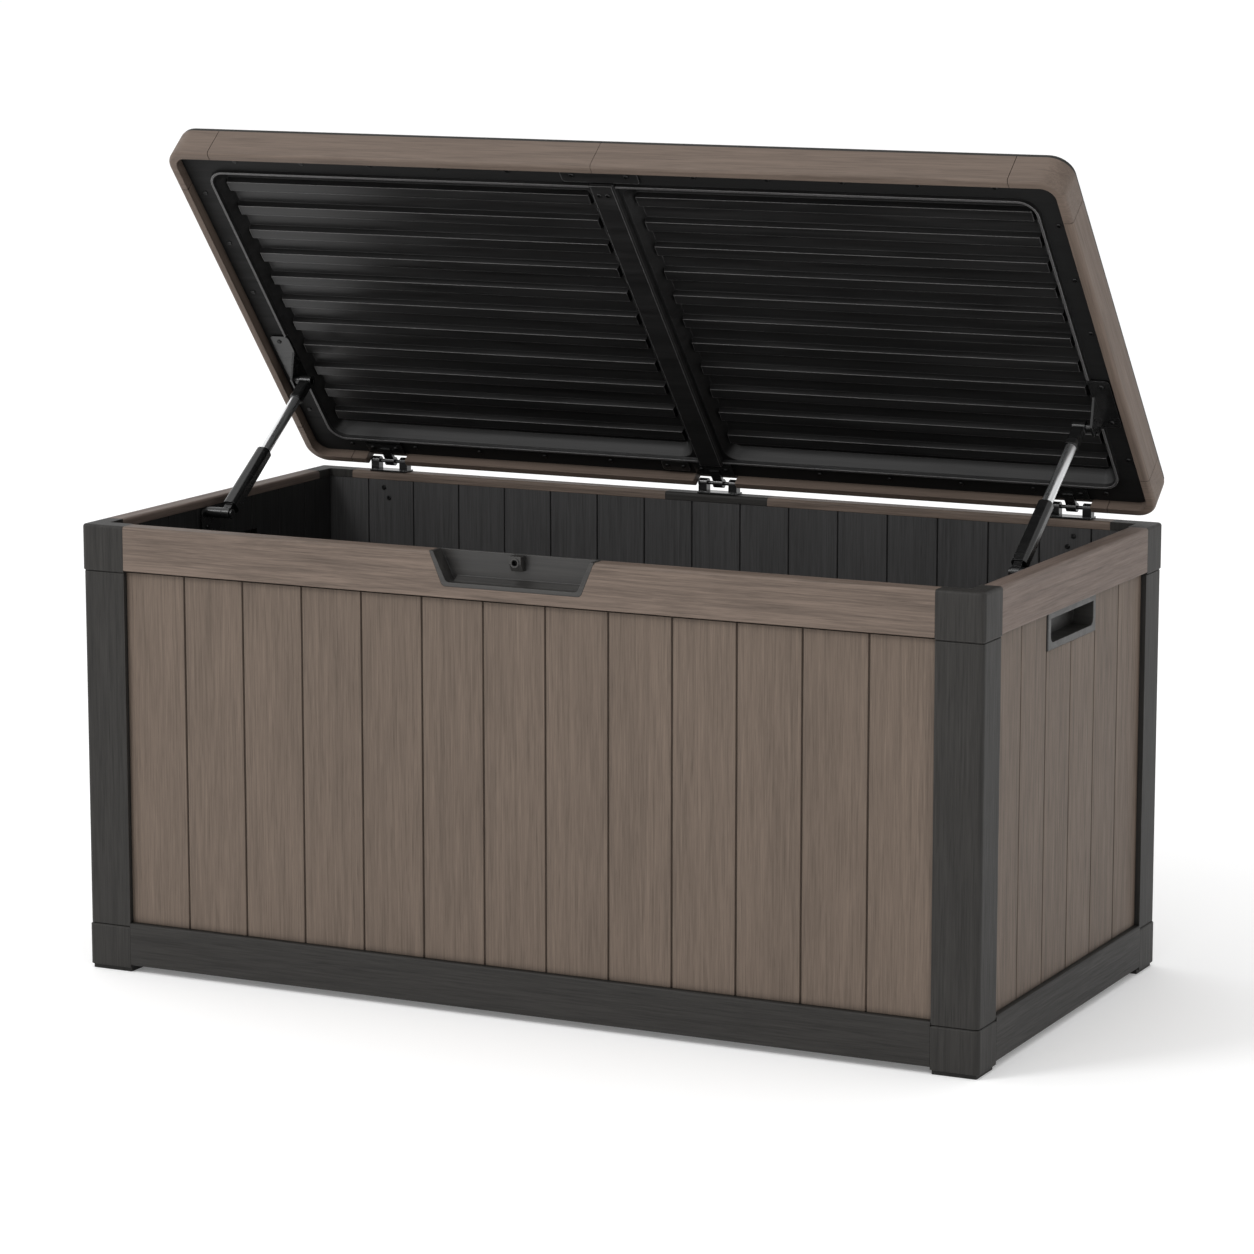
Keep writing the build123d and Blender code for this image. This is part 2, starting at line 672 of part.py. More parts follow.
def lid_cover(side):
    """Half of the lid's top skin, with shallow grooves between its boards."""
    ends = sorted((side * SEAM, side * (LID_HALF + CUT)))
    with BuildPart() as cover:
        with BuildSketch(Plane.XY.offset(RIM_TOP + SEAM)):
            add(lid_outline(COVER_INSET))
        extrude(amount=COVER_THICK)
        fillet(cover.faces().sort_by(Axis.Z)[-1].outer_wire().edges(), radius=COVER_ROUND)
        with BuildSketch(Plane.XY.offset(RIM_TOP + SEAM + COVER_THICK)):
            with Locations((0, LID_MIDDLE)):
                with GridLocations(1, LID_DEPTH / (COVER_GROOVES + 1), 1, COVER_GROOVES):
                    Rectangle(2 * (LID_HALF - COVER_GROOVE_END), GROOVE_WIDTH)
        extrude(amount=-COVER_GROOVE_DEPTH, taper=GROOVE_TAPER, mode=Mode.SUBTRACT)
        add(block(ends, (LID_FRONT - CUT, LID_BACK + CUT), (RIM_TOP, RIM_TOP + 2 * COVER_THICK)),
            mode=Mode.INTERSECT)
    return cover.part


def lip_outline(inset):
    """Rounded rectangle of the lip on the lid's underside, shrunk by an inset."""
    front = LID_FRONT + RIM_WALL + LIP_FRONT + inset
    back = LID_BACK - RIM_WALL - LIP_BACK - inset
    half = LID_HALF - RIM_WALL - LIP_SIDE - inset
    with BuildSketch(mode=Mode.PRIVATE) as shape:
        with Locations((0, (front + back) / 2)):
            RectangleRounded(2 * half, back - front, LIP_CORNER - inset)
    return shape.sketch


def pan_outline(grow):
    """Mouth of the right half's pan, from the centre bar to the lip, enlarged all round."""
    room = lip_outline(LIP_WIDTH).bounding_box()
    start = BAR_WIDTH / 2 + SEAM + PAN_BESIDE_BAR
    with BuildSketch(mode=Mode.PRIVATE) as shape:
        with Locations(((start + room.max.X) / 2, room.center().Y)):
            RectangleRounded(room.max.X - start + 2 * grow, room.size.Y + 2 * grow,
                             LIP_CORNER - LIP_WIDTH + grow)
    return shape.sketch


def lid_inner(side):
    """Half of the lid's underside: flange, lip, and a pan with ribs across its floor."""
    half = (BAR_WIDTH / 2 + SEAM, LID_HALF + CUT)
    floor = pan_outline(-PAN_DEPTH * tan(radians(PAN_TAPER))).bounding_box()
    lip_outer = LID_HALF - RIM_WALL - LIP_SIDE
    bracket_room = (STUD_Y - BRACKET_FRONT - BRACKET_ROOM, STUD_Y + BRACKET_BACK + BRACKET_ROOM)
    with BuildPart() as sheet:
        with BuildSketch(Plane.XY.offset(FLANGE_Z)):
            add(lid_outline(RIM_WALL + SEAM))
        extrude(amount=SHEET)
        with BuildSketch(Plane.XY.offset(FLANGE_Z)):
            add(pan_outline(SHEET))
        extrude(amount=PAN_DEPTH + SHEET, taper=PAN_TAPER)
        with BuildSketch(Plane.XY.offset(FLANGE_Z)):
            add(pan_outline(0))
        extrude(amount=PAN_DEPTH, taper=PAN_TAPER, mode=Mode.SUBTRACT)
        with BuildSketch(Plane.XY.offset(PAN_FLOOR)):
            with Locations((floor.center().X, floor.center().Y)):
                with GridLocations(1, floor.size.Y / RIB_COUNT, 1, RIB_COUNT):
                    Rectangle(floor.size.X + 2 * RIB_INTO_WALL, RIB_WIDTH)
        extrude(amount=-RIB_DROP, taper=RIB_TAPER)
        with BuildSketch(Plane.XY.offset(FLANGE_Z)):
            add(lip_outline(0))
            add(lip_outline(LIP_WIDTH), mode=Mode.SUBTRACT)
        extrude(amount=-LIP_DROP, taper=LIP_TAPER)
        add(block((lip_outer - LIP_WIDTH - CUT, lip_outer + CUT), bracket_room,
                  (FLANGE_Z - LIP_DROP - CUT, FLANGE_Z)), mode=Mode.SUBTRACT)
        add(block(half, (LID_FRONT - CUT, LID_BACK + CUT), (RIM_LOW, RIM_TOP)),
            mode=Mode.INTERSECT)
    return sheet.part if side > 0 else sheet.part.mirror(Plane.YZ)


def lid_centre_bar():
    """Stiffening bar between the two inner sheets."""
    front = LID_FRONT + RIM_WALL + SEAM
    back = LID_BACK - RIM_WALL - SEAM
    with BuildPart() as bar:
        with BuildSketch(Plane.XZ.offset(-front)):
            with BuildLine():
                Polyline((-BAR_WIDTH / 2, FLANGE_Z + SHEET), (-BAR_WIDTH / 2, FLANGE_Z),
                         (-BAR_WIDTH / 2 + BAR_SLANT, FLANGE_Z - BAR_DROP),
                         (BAR_WIDTH / 2 - BAR_SLANT, FLANGE_Z - BAR_DROP),
                         (BAR_WIDTH / 2, FLANGE_Z), (BAR_WIDTH / 2, FLANGE_Z + SHEET), close=True)
            make_face()
        extrude(amount=-(back - front))
        for low, high in ((front - CUT, front + LIP_FRONT - BAR_END),
                          (back - LIP_BACK + BAR_END, back + CUT)):
            add(block((-BAR_WIDTH, BAR_WIDTH), (low, high),
                      (FLANGE_Z - BAR_DROP - CUT, FLANGE_Z)), mode=Mode.SUBTRACT)
    return bar.part


def lid_joint_plates():
    """Small plates that tie the two halves of the lid at the front and at the back."""
    front = LID_FRONT + RIM_WALL + TIE_FRONT_IN
    back = LID_BACK - RIM_WALL - TIE_BACK_IN
    with BuildPart() as plates:
        add(block((-TIE_FRONT_HALF, TIE_FRONT_HALF), (front, front + TIE_FRONT_WIDE),
                  (TIE_LOW, FLANGE_Z - SEAM)))
        add(block(TIE_BACK_X, (back - TIE_BACK_WIDE, back), (TIE_LOW, FLANGE_Z - SEAM)))
        fillet(plates.edges().filter_by(Axis.Z), radius=TIE_ROUND)
    return plates.part


# ---------------------------------------------------------------- hinges
def axis_plane(place):
    """Plane across the hinge axis, with x to the back and y up."""
    return Plane(origin=(place, AXIS_Y, AXIS_Z), x_dir=(0, 1, 0), z_dir=(1, 0, 0))


def chest_leaf(place):
    """Hinge leaf on the back rail with two knuckles."""
    low = HEIGHT + SEAM
    foot = low + CHEST_LEAF_THICK / 2 - AXIS_Z
    with BuildPart() as leaf:
        add(block((place - HINGE_WIDTH / 2, place + HINGE_WIDTH / 2),
                  (AXIS_Y - CHEST_LEAF_FRONT, HALF_DEPTH - RAIL_ROUND),
                  (low, low + CHEST_LEAF_THICK)))
        for side in (-1, 1):
            middle = place + side * (HINGE_WIDTH - KNUCKLE_WIDTH) / 2
            with BuildSketch(axis_plane(middle)):
                with BuildLine():
                    Polyline((-KNUCKLE_RADIUS, 0), (-KNUCKLE_RADIUS, foot),
                             (KNUCKLE_RADIUS, foot), (KNUCKLE_RADIUS, 0), close=True)
                make_face()
                Circle(KNUCKLE_RADIUS)
                Circle(PIN_RADIUS, mode=Mode.SUBTRACT)
            extrude(amount=KNUCKLE_WIDTH / 2, both=True)
    return leaf.part


def lid_leaf(place):
    """Hinge leaf under the lid's flange with one knuckle."""
    top = FLANGE_Z - SEAM
    arm_low = AXIS_Z - ARM_LOW
    with BuildPart() as leaf:
        add(block((place - HINGE_WIDTH / 2, place + HINGE_WIDTH / 2),
                  (AXIS_Y - LEAF_REACH, LID_BACK - RIM_WALL - LEAF_IN), (top - LEAF_THICK, top)))
        add(block((place - LID_KNUCKLE_WIDTH / 2, place + LID_KNUCKLE_WIDTH / 2),
                  (LID_BACK - RIM_WALL - ARM_REACH, AXIS_Y), (arm_low, top)))
        with BuildSketch(axis_plane(place)):
            Circle(KNUCKLE_RADIUS)
        extrude(amount=LID_KNUCKLE_WIDTH / 2, both=True)
        with BuildSketch(axis_plane(place)):
            Circle(PIN_RADIUS + PIN_PLAY)
        extrude(amount=LID_KNUCKLE_WIDTH, both=True, mode=Mode.SUBTRACT)
    return leaf.part


def hinge_pin(place):
    """Headed pin through one hinge."""
    with BuildPart() as pin:
        with BuildSketch(axis_plane(place)):
            Circle(PIN_RADIUS)
        extrude(amount=HINGE_WIDTH / 2 + PIN_HEAD, both=True)
        for side in (-1, 1):
            with BuildSketch(axis_plane(place + side * (HINGE_WIDTH / 2 + PIN_HEAD))):
                Circle(PIN_RADIUS + PIN_HEAD)
            extrude(amount=PIN_HEAD_HALF, both=True)
    return pin.part


def group(pieces):
    """Several separate solids in one node."""
    with BuildPart() as together:
        for piece in pieces:
            add(piece)
    return together.part


# ---------------------------------------------------------------- stays
def stay_plane(side, distance):
    """Plane square to an open stay, at a distance from its lower pivot."""
    direction = Vector(0, cos(STAY_SLOPE), sin(STAY_SLOPE))
    origin = Vector(side * STAY_X, PIVOT_Y, PIVOT_Z) + direction * distance
    return Plane(origin=origin, x_dir=(1, 0, 0), z_dir=direction)


def cross_plane(place, y, z):
    """Plane across a stud, which runs along X."""
    return Plane(origin=(place, y, z), x_dir=(0, 1, 0), z_dir=(1, 0, 0))


def stay_sleeve(side):
    """Black outer sleeve with the lower end eye."""
    with BuildPart() as sleeve:
        with BuildSketch(stay_plane(side, SLEEVE_START)):
            RectangleRounded(2 * SLEEVE_RADIUS, 2 * SLEEVE_RADIUS, SLEEVE_ROUND)
        mouth = 2 * SLEEVE_RADIUS - SLEEVE_NARROWING
        with BuildSketch(stay_plane(side, SLEEVE_START + SLEEVE_LENGTH)):
            RectangleRounded(mouth, mouth, SLEEVE_MOUTH_ROUND)
        loft()
        with BuildSketch(stay_plane(side, NECK_START)):
            Rectangle(2 * EYE_HALF, 2 * EYE_RADIUS - NECK_SLIM)
        extrude(amount=SLEEVE_START)
        with BuildSketch(cross_plane(side * STAY_X, PIVOT_Y, PIVOT_Z)):
            Circle(EYE_RADIUS)
        extrude(amount=EYE_HALF, both=True)
        with BuildSketch(cross_plane(side * STAY_X, PIVOT_Y, PIVOT_Z)):
            Circle(STUD_RADIUS + STUD_PLAY)
        extrude(amount=2 * EYE_HALF, both=True, mode=Mode.SUBTRACT)
        with BuildSketch(stay_plane(side, SLEEVE_START + SLEEVE_FLOOR)):
            Circle(TUBE_RADIUS + TUBE_PLAY)
        extrude(amount=SLEEVE_LENGTH, mode=Mode.SUBTRACT)
    return sleeve.part


def stay_tube(side):
    """Bright inner tube that slides in the sleeve."""
    start = SLEEVE_START + SLEEVE_FLOOR + (STAY_LENGTH - STAY_CLOSED) + SLEEVE_FLOOR
    with BuildPart() as tube:
        with BuildSketch(stay_plane(side, start)):
            Circle(TUBE_RADIUS)
        extrude(amount=STAY_LENGTH - SOCKET_LENGTH - start)
        chamfer(tube.edges().filter_by(GeomType.CIRCLE), length=TUBE_EDGE)
    return tube.part


def stay_socket(side):
    """Black end fitting of the tube, with the eye that meets the lid's stud."""
    with BuildPart() as socket:
        collar = 2 * TUBE_RADIUS + SOCKET_WIDER
        with BuildSketch(stay_plane(side, STAY_LENGTH - SOCKET_LENGTH + SOCKET_START)):
            RectangleRounded(collar, collar, SOCKET_ROUND)
        with BuildSketch(stay_plane(side, STAY_LENGTH - SOCKET_FACE)):
            RectangleRounded(2 * SOCKET_HALF - SOCKET_SLIM, 2 * EYE_RADIUS - NECK_SLIM,
                             SOCKET_FACE_ROUND)
        loft()
        with BuildSketch(cross_plane(side * STAY_X, STUD_OPEN_Y, STUD_OPEN_Z)):
            Circle(EYE_RADIUS)
        extrude(amount=SOCKET_HALF, both=True)
        with BuildSketch(cross_plane(side * STAY_X, STUD_OPEN_Y, STUD_OPEN_Z)):
            Circle(STUD_RADIUS + STUD_PLAY)
        extrude(amount=2 * SOCKET_HALF, both=True, mode=Mode.SUBTRACT)
    return socket.part


def chest_bracket(side):
    """Bracket on the side wall with the stud of a stay's lower end."""
    face = HALF_LENGTH - LINER_FACE - SEAM
    inner = face - BRACKET_THICK
    with BuildPart() as bracket:
        with BuildSketch(cross_plane(side * inner, PIVOT_Y, PIVOT_Z)):
            with Locations((PLATE_BEHIND, -PLATE_BELOW)):
                RectangleRounded(PLATE_LENGTH, PLATE_HEIGHT, PLATE_ROUND)
        extrude(amount=side * BRACKET_THICK)
        with BuildSketch(cross_plane(side * inner, PIVOT_Y, PIVOT_Z)):
            Circle(STUD_RADIUS)
        extrude(amount=-side * (inner - STAY_X + EYE_HALF + STUD_PAST))
        with BuildSketch(cross_plane(side * (STAY_X - EYE_HALF - STUD_SHORT), PIVOT_Y, PIVOT_Z)):
            Circle(STUD_RADIUS + STUD_HEAD)
        extrude(amount=-side * STUD_HEAD_THICK)
        with BuildSketch(cross_plane(side * inner, PIVOT_Y, PIVOT_Z)):
            Circle(STUD_RADIUS + STUD_BOSS)
        extrude(amount=-side * (inner - STAY_X - EYE_HALF - STUD_SHORT))
    return bracket.part


def lid_bracket(side):
    """Bracket under the lid's flange with the stud of a stay's upper end, drawn closed."""
    top = FLANGE_Z - SEAM
    lug_inner = HALF_LENGTH - LUG_IN
    base_ends = sorted((side * (lug_inner - BRACKET_LEDGE), side * (HALF_LENGTH - BRACKET_EDGE)))
    with BuildPart() as bracket:
        add(block(base_ends, (STUD_Y - BRACKET_FRONT, STUD_Y + BRACKET_BACK),
                  (top - BRACKET_BASE, top)))
        fillet(bracket.edges().filter_by(Axis.Z), radius=BRACKET_ROUND)
        with BuildSketch(cross_plane(side * lug_inner, STUD_Y, STUD_Z)):
            with BuildLine():
                Polyline((-LUG_FRONT, top - LUG_ROOT - STUD_Z), (LUG_BACK, top - LUG_ROOT - STUD_Z),
                         (LUG_TIP, -LUG_TIP), (-LUG_TIP, -LUG_TIP), close=True)
            make_face()
        extrude(amount=side * LUG_THICK)
        with BuildSketch(cross_plane(side * lug_inner, STUD_Y, STUD_Z)):
            Circle(STUD_RADIUS + STUD_HEAD)
        extrude(amount=-side * (lug_inner - STAY_X - SOCKET_HALF - STUD_SHORT))
    return bracket.part


# ---------------------------------------------------------------- screws
def screw(plane):
    """Pan head with a cross slot, standing on a plane."""
    with BuildPart() as head:
        with BuildSketch(plane):
            Circle(SCREW_RADIUS)
        extrude(amount=SCREW_HEIGHT)
        crown = plane.origin + plane.z_dir * 2 * SCREW_HEIGHT
        chamfer(head.edges().filter_by(GeomType.CIRCLE).sort_by_distance(crown)[0],
                length=SCREW_EDGE)
        with BuildSketch(plane.offset(SCREW_HEIGHT)):
            Rectangle(SCREW_SLOT_SPAN, SCREW_SLOT)
            Rectangle(SCREW_SLOT, SCREW_SLOT_SPAN)
        extrude(amount=-SCREW_SLOT, mode=Mode.SUBTRACT)
    return head.part


def chest_screws():
    """Screws of the stay brackets, and those in the back wall."""
    inner = HALF_LENGTH - LINER_FACE - SEAM - BRACKET_THICK
    heads = []
    for side in (-1, 1):
        for y, z in ((PLATE_SCREW_NEAR, 0), (PLATE_SCREW_FAR, 0), (0, -PLATE_SCREW_LOW)):
            origin = (side * inner, PIVOT_Y + y, PIVOT_Z + z)
            heads.append(screw(Plane(origin=origin, x_dir=(0, 1, 0), z_dir=(-side, 0, 0))))
        for inward, drop in ((WALL_SCREW_IN, WALL_SCREW_HIGH),
                             (WALL_SCREW_IN + WALL_SCREW_STEP, WALL_SCREW_LOW)):
            origin = (side * (HALF_LENGTH - inward), HALF_DEPTH - LINER_FACE, HEIGHT - drop)
            heads.append(screw(Plane(origin=origin, x_dir=(1, 0, 0), z_dir=(0, -1, 0))))
    return group(heads)


def under_lid(x, y, z=FLANGE_Z):
    """Plane on the lid's underside, facing down."""
    return Plane(origin=(x, y, z), x_dir=(1, 0, 0), z_dir=(0, 0, -1))


def lid_screws():
    """Screws on the lid's flange, hinges, brackets, bar and joint plates."""
    heads = []
    front = LID_FRONT + RIM_WALL
    back = LID_BACK - RIM_WALL
    tie_middle = sum(TIE_BACK_X) / 2
    bracket_x = HALF_LENGTH - LUG_IN + BRACKET_SCREW_OUT
    bracket_low = FLANGE_Z - SEAM - BRACKET_BASE
    for side in (-1, 1):
        for y in FLANGE_SCREW_Y:
            heads.append(screw(under_lid(side * (LID_HALF - RIM_WALL - FLANGE_SCREW_IN), y)))
        for step in range(FLANGE_SCREWS):
            x = side * (FLANGE_SCREW_START + step * FLANGE_SCREW_PITCH)
            heads.append(screw(under_lid(x, front + FLANGE_SCREW_IN)))
            heads.append(screw(under_lid(x + side * FLANGE_BACK_SHIFT, back - FLANGE_SCREW_IN)))
        for y in (STUD_Y - BRACKET_FRONT + BRACKET_SCREW_IN, STUD_Y + BRACKET_BACK - BRACKET_SCREW_IN):
            heads.append(screw(under_lid(side * bracket_x, y, bracket_low)))
        heads.append(screw(under_lid(side * TIE_FRONT_SCREW, front + TIE_SCREW_IN, TIE_LOW)))
        heads.append(screw(under_lid(side * BAR_SCREW, front + BAR_SCREW_IN, FLANGE_Z - BAR_DROP)))
        heads.append(screw(under_lid(tie_middle + side * TIE_BACK_SCREW, back - TIE_SCREW_IN,
                                     TIE_LOW)))
        for place in HINGE_X:
            heads.append(screw(under_lid(place + side * LEAF_SCREW,
                                         AXIS_Y - LEAF_REACH + LEAF_SCREW_IN,
                                         FLANGE_Z - SEAM - LEAF_THICK)))
    return group(heads)


# ---------------------------------------------------------------- build and write
def build_chest():
    """Write the fixed chest."""
    save_corners(corner_base(), "corner_base")
    save_corners(corner_post(), "corner_post")
    save_corners(corner_cap(), "corner_cap")
    long_ends = (POST_WIDTH + SEAM, LENGTH - POST_WIDTH - SEAM)
    short_ends = (POST_DEPTH + SEAM, DEPTH - POST_DEPTH - SEAM)
    save(rail(bottom_rail_outline(), long_plane(-1), *long_ends), "bottom_rail_front")
    save(rail(bottom_rail_outline(), long_plane(1), *long_ends), "bottom_rail_back")
    save(rail(bottom_rail_outline(), short_plane(-1), *short_ends), "bottom_rail_left")
    save(rail(bottom_rail_outline(), short_plane(1), *short_ends), "bottom_rail_right")
    save(top_rail_front(), "top_rail_front")
    save(top_rail_back(), "top_rail_back")
    save(rail(top_rail_outline(), long_plane(1), HALF_LENGTH - JOINER_HALF,
              HALF_LENGTH + JOINER_HALF), "top_rail_joiner")
    save(rail(top_rail_outline(), short_plane(-1), *short_ends), "top_rail_left")
    save(rail(top_rail_outline(), short_plane(1), *short_ends), "top_rail_right")
    save(outer_panel(-1, True), "panel_front")
    save(outer_panel(1, True), "panel_back")
    save(side_with_handle(outer_panel(-1, False), -1), "panel_left")
    save(side_with_handle(outer_panel(1, False), 1), "panel_right")
    save(cut_recess(liner(-1, True)), "liner_front")
    save(liner(1, True), "liner_back")
    save(side_with_handle(liner(-1, False), -1), "liner_left")
    save(side_with_handle(liner(1, False), 1), "liner_right")
    save(handle(-1), "handle_left")
    save(handle(1), "handle_right")
    save(floor_panels(), "floor_panels")
    save(finger_recess(), "finger_recess")
    save(padlock_eye(), "padlock_eye")
    save(group([chest_leaf(place) for place in HINGE_X]), "hinge_chest_leaves")
    save(group([hinge_pin(place) for place in HINGE_X]), "hinge_pins")
    save(group([chest_bracket(-1), chest_bracket(1)]), "stay_chest_brackets")
    save(chest_screws(), "chest_screws")


def build_lid():
    """Write the lid, opened."""
    ring = rim_ring()
    inside = LID_HALF - CORNER_LEG
    front_line = LID_FRONT + CORNER_LEG
    back_line = LID_BACK - CORNER_LEG
    outside = LID_HALF + CUT
    for side, hand in ((-1, "left"), (1, "right")):
        x_range = sorted((side * inside, side * outside))
        for y_range, end in (((LID_FRONT - CUT, front_line), "front"),
                             ((back_line, LID_BACK + CUT), "back")):
            save(opened(rim_piece(ring, x_range, y_range)), f"lid_corner_{end}_{hand}")
        save(opened(lid_cover(side)), f"lid_cover_{hand}")
        save(opened(lid_inner(side)), f"lid_inner_{hand}")
    half_run = (SEAM, inside - LID_SEAM)
    side_run = (front_line + LID_SEAM, back_line - LID_SEAM)
    front_run = (LID_FRONT - CUT, front_line)
    back_run = (back_line, LID_BACK + CUT)
    save(opened(rim_pair(ring, half_run, front_run)), "lid_rim_front")
    save(opened(rim_pair(ring, half_run, back_run)), "lid_rim_back")
    save(opened(rim_pair(ring, (inside, outside), side_run)), "lid_rim_sides")
    save(opened(lid_centre_bar()), "lid_centre_bar")
    save(opened(lid_joint_plates()), "lid_joint_plates")
    save(opened(group([lid_leaf(place) for place in HINGE_X])), "hinge_lid_leaves")
    save(opened(group([lid_bracket(-1), lid_bracket(1)])), "stay_lid_brackets")
    save(opened(lid_screws()), "lid_screws")


def build_stays():
    """Write the two telescopic stays."""
    for side, hand in ((-1, "left"), (1, "right")):
        save(stay_sleeve(side), f"stay_sleeve_{hand}")
        save(stay_tube(side), f"stay_tube_{hand}")
        save(stay_socket(side), f"stay_socket_{hand}")


os.makedirs("parts", exist_ok=True)
build_chest()
build_lid()
build_stays()
swing = degrees(STAY_SLOPE - STAY_CLOSED_SLOPE)
print(f"hinge axis y {AXIS_Y:.2f} z {AXIS_Z:.2f}")
print(f"stay pivot y {PIVOT_Y:.2f} z {PIVOT_Z:.2f}, open length {STAY_LENGTH:.3f}")
print(f"stay stroke {STAY_LENGTH - STAY_CLOSED:.3f}, swing {swing:.4f}")
print(f"stay slope {degrees(STAY_SLOPE):.4f}")
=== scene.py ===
"""Deck storage box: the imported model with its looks.

Metres, in the row frame: the origin is on the ground under the middle of the chest,
+X runs along its length to the right, +Y to the hinged back and +Z up.
"""

import json
import math

import bpy
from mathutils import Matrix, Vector

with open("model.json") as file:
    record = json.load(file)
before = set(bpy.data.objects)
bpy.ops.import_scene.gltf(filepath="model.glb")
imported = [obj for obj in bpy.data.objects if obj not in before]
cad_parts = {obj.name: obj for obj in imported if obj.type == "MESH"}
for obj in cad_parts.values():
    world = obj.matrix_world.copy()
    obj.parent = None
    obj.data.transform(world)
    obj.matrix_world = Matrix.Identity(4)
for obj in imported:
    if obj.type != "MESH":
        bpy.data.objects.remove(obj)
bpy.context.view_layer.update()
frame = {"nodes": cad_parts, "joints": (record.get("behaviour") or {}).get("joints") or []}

X, Y, Z = 0, 1, 2


def joint_named(name):
    """A joint's entry in the frame."""
    return next(joint for joint in frame["joints"] if joint["name"] == name)


LID_HINGE = joint_named("lid_hinge")
LID_TRAVEL = math.radians(LID_HINGE["range_deg"][1])
LID_AXIS = Vector(LID_HINGE["pos_m"])
SLIDE = joint_named("stay_right_slide")["axis"]
STAY_SLOPE = math.atan2(SLIDE[Z], SLIDE[Y])

# Linear colours of the moulded resins and the metals
TAUPE = (0.127, 0.096, 0.075)
TAUPE_RAIL = (0.136, 0.103, 0.083)
TAUPE_SIDE_RAIL = (0.141, 0.107, 0.090)
CHARCOAL = (0.0250, 0.0235, 0.0218)
LINER = (0.052, 0.051, 0.051)
# Side liners: the liner colour darkened, as painted shade inside the box
LINER_SIDE_SHADED = (0.020, 0.0196, 0.0196)
BLACK = (0.008, 0.008, 0.008)
LID_BLACK = (0.0135, 0.0132, 0.0132)
STEEL = (0.90, 0.91, 0.92)
DARK_STEEL = (0.05, 0.05, 0.05)

# Pitch of the boards, in metres
PLANK_PITCH = 0.0856
LINER_PITCH = 0.0700

# Edges and crevices: reach in metres, and the turn of the normal that counts as an edge; edges get
# a softened normal and a painted highlight, crevices get painted shade
EDGE_RADIUS = 0.0013
FITTING_RADIUS = 0.0009
SHADE_OCCLUSION_REACH = 0.009
SHADE_SAMPLES = 4
EDGE_TURN = (0.999, 0.90)

FULL = (0.0, 1.0)
NOISE_REACH = (0.3, 0.7)

# Detail, roughness and distortion of each noise
EVEN_NOISE = (2.0, 0.5, 0.0)
WIDE_NOISE = (4.0, 0.66, 0.8)
FINE_NOISE = (4.0, 0.72, 0.4)
FLOW_NOISE = (3.0, 0.6, 0.8)
STREAK_NOISE = (4.0, 0.7, 0.6)

# Wood grain: noise scales across and along it, per metre, then its tones and relief
WIDE_GRAIN = (120.0, 5.5)
FINE_GRAIN = (480.0, 13.0)
PORES = (900.0, 20.0)
GRAIN_REACH = (0.36, 0.64)
PORE_REACH = (0.60, 0.72)
PORE_DARKNESS = 0.8
PORE_HEIGHT = 0.5
BOARD_TONES = (0.96, 1.04)
# Painted shade in corners and gaps: the occlusion range and the tones it maps to
GRAIN_PAINTED_SHADE_REACH = (0.25, 0.9)
GRAIN_PAINTED_SHADE_TONES = (0.35, 1.0)
GRAIN_SPECULAR = 0.22
GRAIN_DULLER = 0.07
GRAIN_SHINIER = 0.05
GRAIN_BUMP = 0.7
GRAIN_RELIEF = 0.00022

# Plain mouldings: noise scales across and along the flow, per metre, then tones and relief
FLOW = (60.0, 5.0)
STREAKS = (260.0, 4.0)
SPECK = (900.0, 900.0)
STREAK_REACH = (0.35, 0.65)
FLOW_TONES = (0.75, 1.25)
# Painted highlight on open outer edges: the occlusion range over which it shows
HIGHLIGHT_OPEN_REACH = (0.72, 0.9)
# Painted shade in corners and gaps: the occlusion range and the tones it maps to
PLAIN_PAINTED_SHADE_REACH = (0.2, 0.9)
PLAIN_PAINTED_SHADE_TONES = (0.25, 1.0)
FLOW_DULLER = 0.10
FLOW_SHINIER = 0.06
PLAIN_BUMP = 0.35
PLAIN_RELIEF = 0.00008

# Underside of the closed lid: heights in metres, and how its flange and lip differ; the lip gets a
# painted highlight
FLANGE_LEVEL = 0.601
LIP_LEVEL = 0.596
LEVEL_SLACK = 0.0004
FLANGE_DARK = 0.85
FLANGE_DULL = 0.35
LIP_PAINTED_HIGHLIGHT = 3.5

# Drawn steel: marks are this much finer across than along
BRUSH_RATIO = 18.0
BRUSH_TONES = (0.92, 1.06)
BRUSH_DULLER = 1.25
BRUSH_SHINIER = 0.8

# Studio: white surroundings, dimmer towards +X, over a pale floor
SKY = 1.0
RIGHT_SIDE = (0.2, 0.9)
RIGHT_DIM = 0.54
FLOOR_HALF = 90.0
FLOOR_COLOUR = (0.97, 0.97, 0.97, 1.0)
FLOOR_ROUGH = 0.9
FLOOR_SPECULAR = 0.1
FLOOR_GLOW = 0.15
WHITE = (1.0, 1.0, 1.0, 1.0)
AIM = (0.0, 0.0, 0.5)
KEY_SPOT = (-2.6, -3.6, 4.2)
KEY_SIZE = 1.6
KEY_POWER = 95.0
FILL_SPOT = (4.2, -1.6, 2.6)
FILL_SIZE = 1.0
FILL_POWER = 10.0

# Camera: metres, millimetres of lens and sensor, degrees down and round
CAMERA_SPOT = (2.4806, -5.0538, 1.4297)
CAMERA_DOWN = 9.886
CAMERA_ROUND = 26.086
SENSOR = 36.0
LENS = 127.55
SIGHT = 300.0


